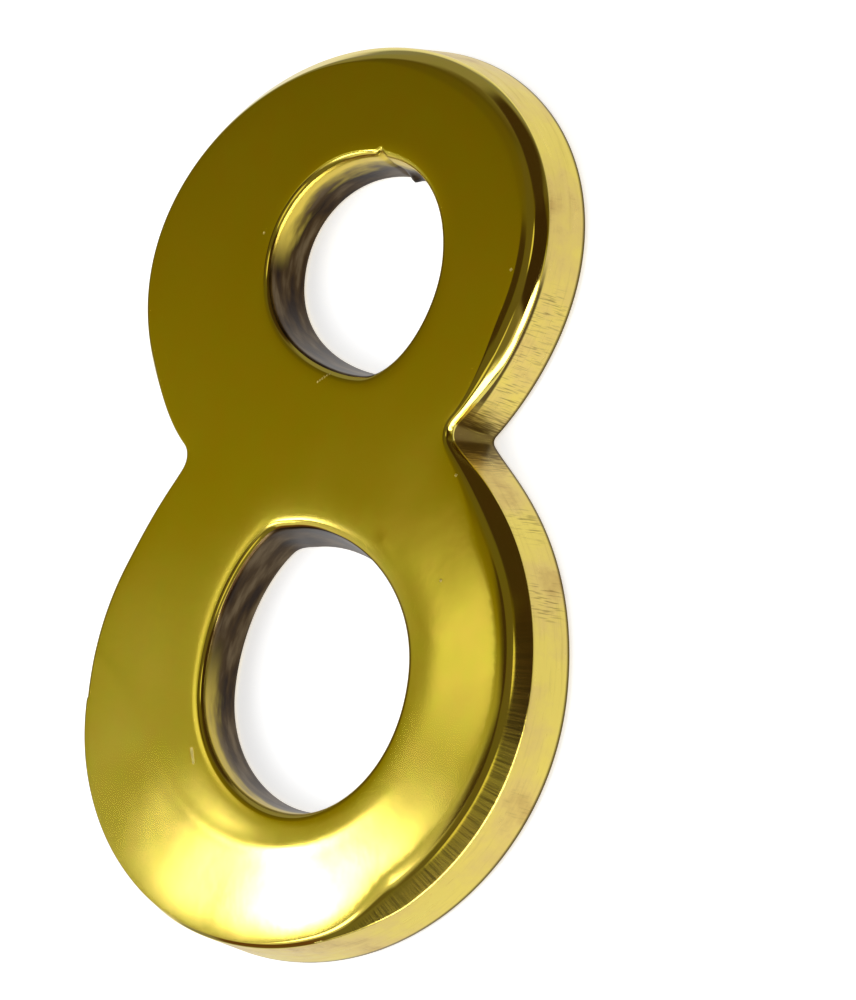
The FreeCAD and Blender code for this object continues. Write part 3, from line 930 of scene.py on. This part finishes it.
finish_metal(material, dulled.outputs[2], matt.outputs[0], lines, BELT_HEIGHT)

# Tapped brass: cut by the tap after everything else, so clean and bright, with the fine tearing of the
# cut along the thread. Its sizes are in mm.
TEAR_SIZE = 0.25
TAPPED_ROUGHNESS = (0.18, 0.34)

material, tree = new_material("tapped_brass")
place = add_node(tree, "ShaderNodeTexCoord").outputs["Object"]
tearing = add_node(tree, "ShaderNodeTexNoise", inputs={
    "Vector": place, "Scale": 1.0 / (TEAR_SIZE * MM), "Detail": 2.0})
bright = add_node(tree, "ShaderNodeMapRange", inputs={
    "Value": tearing.outputs[0], "To Min": TAPPED_ROUGHNESS[0], "To Max": TAPPED_ROUGHNESS[1]})
surface = add_node(tree, "ShaderNodeBsdfPrincipled", inputs={
    "Base Color": BRASS, "Metallic": 1.0, "Roughness": bright.outputs[0]})
add_node(tree, "ShaderNodeOutputMaterial", inputs={"Surface": surface.outputs[0]})
mesh.materials.append(material)

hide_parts(NODE)
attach(casting, "root")


# The backdrop
# The white paper that the numeral lies on. It shows from the front only, so that the back can be
# viewed, and it glows a little so that it is as white in a picture as it is to the eye.
BACKDROP_HALF = 3.0
BACKDROP_GAP = 0.0003
PAPER_WHITE = linear("F0F0F0")
PLAIN_WHITE = (1.0, 1.0, 1.0, 1.0)
PAPER_GLOW = 0.52
PAPER_IN_METAL = 0.88
PAPER_FADE_START = 0.048
PAPER_FADE_END = 0.060
FAR_PAPER_IN_METAL = 0.25
mesh = bpy.data.meshes.new("backdrop")
paper_corners = [(x * BACKDROP_HALF, BACKDROP_GAP, z * BACKDROP_HALF)
                 for x, z in ((-1, -1), (1, -1), (1, 1), (-1, 1))]
mesh.from_pydata(paper_corners, [], [(0, 1, 2, 3)])
backdrop = bpy.data.objects.new("backdrop", mesh)
bpy.context.collection.objects.link(backdrop)
material, tree = new_material("white_paper")
facing = add_node(tree, "ShaderNodeNewGeometry")
light_path = add_node(tree, "ShaderNodeLightPath")
paper = add_node(tree, "ShaderNodeBsdfDiffuse", inputs={"Color": PAPER_WHITE})
shown = add_node(tree, "ShaderNodeMath", {"operation": "MULTIPLY"}, {
    0: light_path.outputs["Is Camera Ray"], 1: PAPER_GLOW})
glow = add_node(tree, "ShaderNodeEmission", inputs={"Color": PLAIN_WHITE, "Strength": shown.outputs[0]})
lit = add_node(tree, "ShaderNodeAddShader", inputs={0: paper.outputs[0], 1: glow.outputs[0]})
# in the metal the paper is a glowing sheet, a painted reflection that is brightest near the numeral and dims
# farther out
spot = add_node(tree, "ShaderNodeTexCoord").outputs["Object"]
away = add_node(tree, "ShaderNodeVectorMath", {"operation": "LENGTH"}, {0: spot})
fading = add_node(tree, "ShaderNodeMapRange", inputs={
    "Value": away.outputs["Value"], "From Min": PAPER_FADE_START, "From Max": PAPER_FADE_END,
    "To Min": PAPER_IN_METAL, "To Max": FAR_PAPER_IN_METAL})
mirrored = add_node(tree, "ShaderNodeEmission", inputs={"Color": PLAIN_WHITE, "Strength": fading.outputs[0]})
seen = add_node(tree, "ShaderNodeMixShader", inputs={
    0: light_path.outputs["Is Glossy Ray"], 1: lit.outputs[0], 2: mirrored.outputs[0]})
clear = add_node(tree, "ShaderNodeBsdfTransparent")
one_sided = add_node(tree, "ShaderNodeMixShader", inputs={
    0: facing.outputs["Backfacing"], 1: seen.outputs[0], 2: clear.outputs[0]})
add_node(tree, "ShaderNodeOutputMaterial", inputs={"Surface": one_sided.outputs[0]})
mesh.materials.append(material)


# Studio light
# One wide soft lamp from the lower left. The room that the metal mirrors is bright low down and dim
# above, with a dark opening where the camera stands.
LAMP_AT = Vector((-0.45, -0.85, -0.30))
LAMP_POWER = 4.0
LAMP_WIDTH = 0.9
LAMP_HEIGHT = 0.7
lamp_data = bpy.data.lights.new("soft_lamp", "AREA")
lamp_data.shape = "RECTANGLE"
lamp_data.size = LAMP_WIDTH
lamp_data.size_y = LAMP_HEIGHT
lamp_data.energy = LAMP_POWER
lamp = bpy.data.objects.new("soft_lamp", lamp_data)
lamp.matrix_world = Matrix.Translation(LAMP_AT) @ LAMP_AT.to_track_quat("Z", "Y").to_matrix().to_4x4()
lamp.visible_glossy = False
bpy.context.collection.objects.link(lamp)

ROOM_FILL = 0.74
# colours of the mirrored room by the sine of the height above the horizon
ROOM_BY_HEIGHT = [
    (-1.0, (0.80, 0.78, 0.70)),
    (-0.30, (0.70, 0.66, 0.50)),
    (0.055, (0.50, 0.49, 0.28)),
    (0.090, (0.36, 0.36, 0.12)),
    (0.113, (0.365, 0.345, 0.08)),
    (0.136, (0.325, 0.31, 0.06)),
    (0.155, (0.255, 0.22, 0.004)),
    (0.226, (0.185, 0.147, 0.0)),
    (0.26, (0.150, 0.122, 0.0)),
    (0.5, (0.10, 0.08, 0.01)),
    (1.0, (0.22, 0.20, 0.12)),
]
# each part of the room is a disc: where it lies, its inner and outer reach in degrees, and its colour
ROOM_PARTS = [
    ("left side", (-1.0, 0.0, 0.15), 22.0, 36.0, (0.10, 0.07, 0.01)),
    ("front", (-0.137, -0.978, 0.156), 20.0, 27.0, (0.13, 0.11, 0.025)),
    ("front low", (-0.05, -0.97, -0.25), 27.0, 33.0, (0.13, 0.11, 0.035)),
    ("lit corner", (-0.6890, -0.7119, 0.1360), 0.6, 1.8, (0.95, 0.92, 0.45)),
    ("dark side", (-0.525, -0.834, 0.17), 3.2, 5.5, (0.05, 0.03, 0.008)),
    ("dark side low", (-0.55, -0.834, 0.03), 3.2, 5.5, (0.05, 0.03, 0.008)),
    ("camera side", (0.74, -0.65, 0.12), 26.0, 34.0, (0.04, 0.022, 0.008)),
    ("ceiling", (0.30, -0.50, 0.81), 22.0, 34.0, (0.05, 0.03, 0.01)),
    ("pale ceiling", (-0.60, -0.05, 0.80), 25.0, 35.0, (0.26, 0.25, 0.18)),
    ("table foot", (-0.27, -0.62, -0.74), 20.0, 26.0, (0.16, 0.145, 0.06)),
    ("table front", (0.20, -0.80, -0.55), 20.0, 27.0, (0.18, 0.16, 0.075)),
    ("pale screen", (0.225, -0.959, 0.17), 5.0, 9.0, (0.85, 0.80, 0.32)),
    ("pale screen low", (0.10, -0.946, -0.30), 6.0, 10.0, (0.85, 0.80, 0.32)),
    ("pale screen foot", (-0.074, -0.879, -0.466), 6.0, 10.0, (0.85, 0.80, 0.32)),
    ("white table end", (0.92, -0.25, -0.30), 5.0, 8.0, (6.0, 5.9, 5.8)),
    ("white table right", (0.82, -0.36, -0.44), 8.0, 11.0, (6.0, 5.9, 5.8)),
    ("white table", (0.606, -0.248, -0.752), 12.0, 15.0, (6.0, 5.9, 5.8)),
    ("white table left", (0.28, -0.26, -0.92), 9.0, 12.0, (6.0, 5.9, 5.8)),
    ("white table foot", (0.02, -0.25, -0.97), 9.0, 12.0, (6.0, 5.9, 5.8)),
    ("brown corner", (-0.71, -0.17, -0.68), 12.0, 22.0, (0.13, 0.06, 0.02)),
    ("low window", (-0.6736, -0.735, -0.078), 3.4, 4.6, (4.5, 4.4, 4.0)),
    ("window glow", (-0.7155, -0.6944, 0.0770), 0.7, 1.75, (1.0, 0.96, 0.50)),
    ("window", (-0.7205, -0.6894, 0.0748), 0.6, 1.15, (13.0, 12.8, 12.5)),
]
world = bpy.data.worlds.new("studio_room")
bpy.context.scene.world = world
world.use_nodes = True
tree = world.node_tree
tree.nodes.clear()
direction = add_node(tree, "ShaderNodeTexCoord").outputs["Generated"]
apart = add_node(tree, "ShaderNodeSeparateXYZ", inputs={0: direction})
height = add_node(tree, "ShaderNodeMapRange", inputs={
    "Value": apart.outputs["Z"], "From Min": -1.0, "From Max": 1.0})
room = add_node(tree, "ShaderNodeValToRGB", inputs={0: height.outputs[0]})
set_ramp(room.color_ramp, [((rise + 1.0) / 2.0, tone + (1.0,)) for rise, tone in ROOM_BY_HEIGHT])
colour = room.outputs[0]
for name, axis, inner, outer, tone in ROOM_PARTS:
    nearness = add_node(tree, "ShaderNodeVectorMath", {"operation": "DOT_PRODUCT", "label": name}, {
        0: direction, 1: Vector(axis).normalized()})
    share = add_node(tree, "ShaderNodeMapRange", {"interpolation_type": "SMOOTHSTEP"}, {
        "Value": nearness.outputs["Value"], "From Min": math.cos(math.radians(outer)),
        "From Max": math.cos(math.radians(inner))})
    painted = add_node(tree, "ShaderNodeMix", {"data_type": "RGBA"}, {
        0: share.outputs[0], 6: colour, 7: tone + (1.0,)})
    colour = painted.outputs[2]
light_path = add_node(tree, "ShaderNodeLightPath")
plain = add_node(tree, "ShaderNodeBackground", inputs={"Color": PLAIN_WHITE, "Strength": ROOM_FILL})
white = add_node(tree, "ShaderNodeBackground", inputs={"Color": PLAIN_WHITE, "Strength": 1.0})
mirrored = add_node(tree, "ShaderNodeBackground", inputs={"Color": colour, "Strength": 1.0})
for_glossy = add_node(tree, "ShaderNodeMixShader", inputs={
    0: light_path.outputs["Is Glossy Ray"], 1: plain.outputs[0], 2: mirrored.outputs[0]})
for_camera = add_node(tree, "ShaderNodeMixShader", inputs={
    0: light_path.outputs["Is Camera Ray"], 1: for_glossy.outputs[0], 2: white.outputs[0]})
add_node(tree, "ShaderNodeOutputWorld", inputs={0: for_camera.outputs[0]})


# Camera
# It stands to the numeral's right, a little below its middle, tipped over by a few degrees.
CAMERA_AT = Vector((0.25481, -0.24384, -0.05975))
CAMERA_AIM = Vector((0.009248, 0.0, -0.000496))
CAMERA_ROLL = math.radians(5.32)
SENSOR_HEIGHT = 24.0
FOCAL_LENGTH = 104.334
camera_data = bpy.data.cameras.new("camera")
camera_data.sensor_fit = "VERTICAL"
camera_data.sensor_height = SENSOR_HEIGHT
camera_data.lens = FOCAL_LENGTH
camera = bpy.data.objects.new("camera", camera_data)
level = (CAMERA_AT - CAMERA_AIM).to_track_quat("Z", "Y").to_matrix()
camera.matrix_world = Matrix.Translation(CAMERA_AT) @ (level @ Matrix.Rotation(CAMERA_ROLL, 3, "Z")).to_4x4()
bpy.context.collection.objects.link(camera)
bpy.context.scene.camera = camera
bpy.context.scene.view_settings.view_transform = "Standard"
